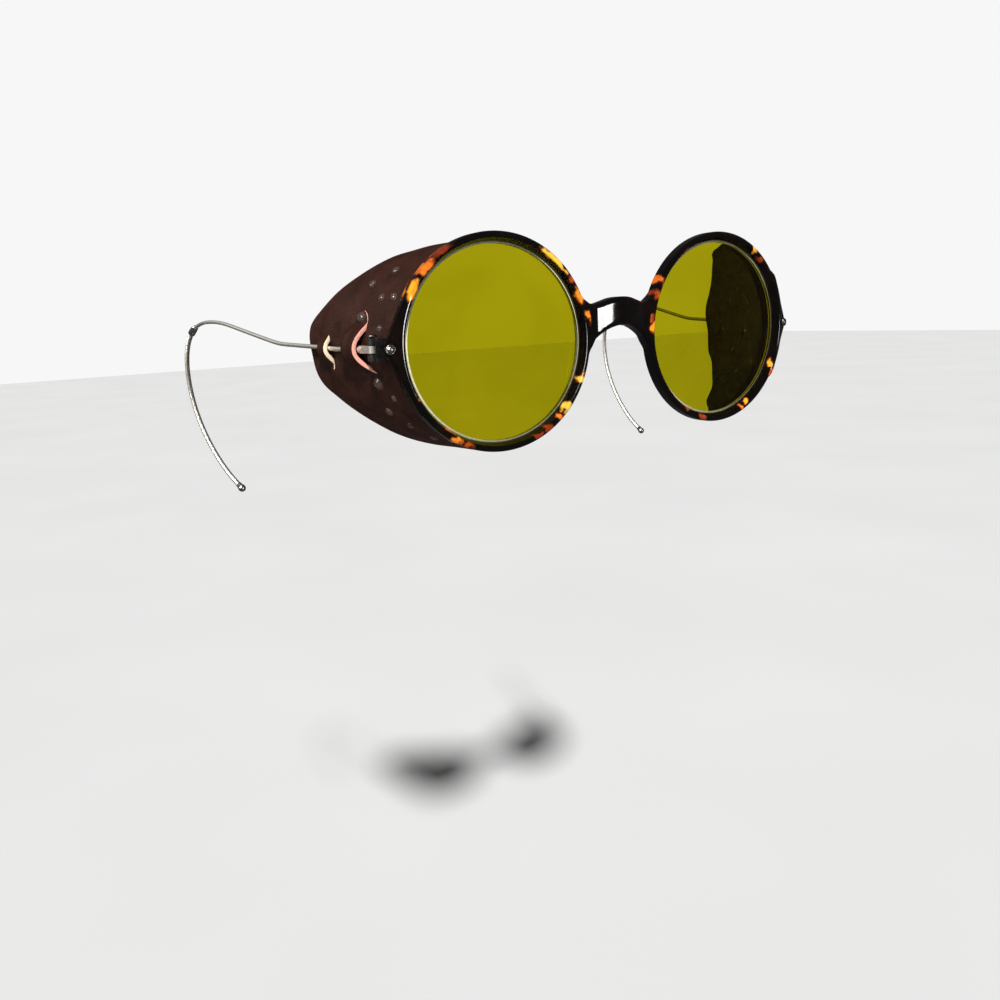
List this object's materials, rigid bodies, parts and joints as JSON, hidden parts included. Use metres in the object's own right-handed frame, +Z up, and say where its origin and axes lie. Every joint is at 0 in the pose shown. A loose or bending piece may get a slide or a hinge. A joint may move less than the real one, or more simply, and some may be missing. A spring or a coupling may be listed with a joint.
{
  "type": "glacier glasses",
  "caption": "Round tortoiseshell glacier glasses with amber lenses, leather side shields and hinged wire cable temples.",
  "frame": {"origin": "middle of the bridge's underside, where it sits on the nose", "axes": "+X to the wearer's left, +Y back along the temples, +Z up; the front looks along -Y"},
  "size_m": [0.1662, 0.115, 0.0661],
  "materials": {
    "tortoiseshell": "polished mottled plastic",
    "lens": "clear amber glass",
    "leather": "smooth worn leather",
    "hinge_metal": "polished nickel",
    "temple_wire": "drawn wire"
  },
  "bodies": {
    "front": {"front_frame": "tortoiseshell", "lens_right": "lens", "rivet_right": "hinge_metal", "rivet_washer_right": "hinge_metal", "hinge_leaf_right": "hinge_metal", "hinge_screw_right": "hinge_metal", "lens_left": "lens", "rivet_left": "hinge_metal", "rivet_washer_left": "hinge_metal", "hinge_leaf_left": "hinge_metal", "hinge_screw_left": "hinge_metal"},
    "temple_right": {"temple_butt_right": "hinge_metal", "temple_wire_right": "temple_wire", "ear_ferrule_right": "hinge_metal", "ear_cable_right": "temple_wire", "ear_tip_right": "hinge_metal", "side_shield_right": "leather"},
    "temple_left": {"temple_butt_left": "hinge_metal", "temple_wire_left": "temple_wire", "ear_ferrule_left": "hinge_metal", "ear_cable_left": "temple_wire", "ear_tip_left": "hinge_metal", "side_shield_left": "leather"}
  },
  "joints": [
    {"name": "right_temple_fold", "type": "hinge", "parent": "front", "child": "temple_right", "pos_m": [-0.06211, 0.00706, -0.00225], "axis": [0, 0, -1], "range_deg": [0, 92], "deforming": ["side_shield_right"]},
    {"name": "left_temple_fold", "type": "hinge", "parent": "front", "child": "temple_left", "pos_m": [0.06211, 0.00706, -0.00225], "axis": [0, 0, 1], "range_deg": [0, 86], "deforming": ["side_shield_left"]}
  ]
}
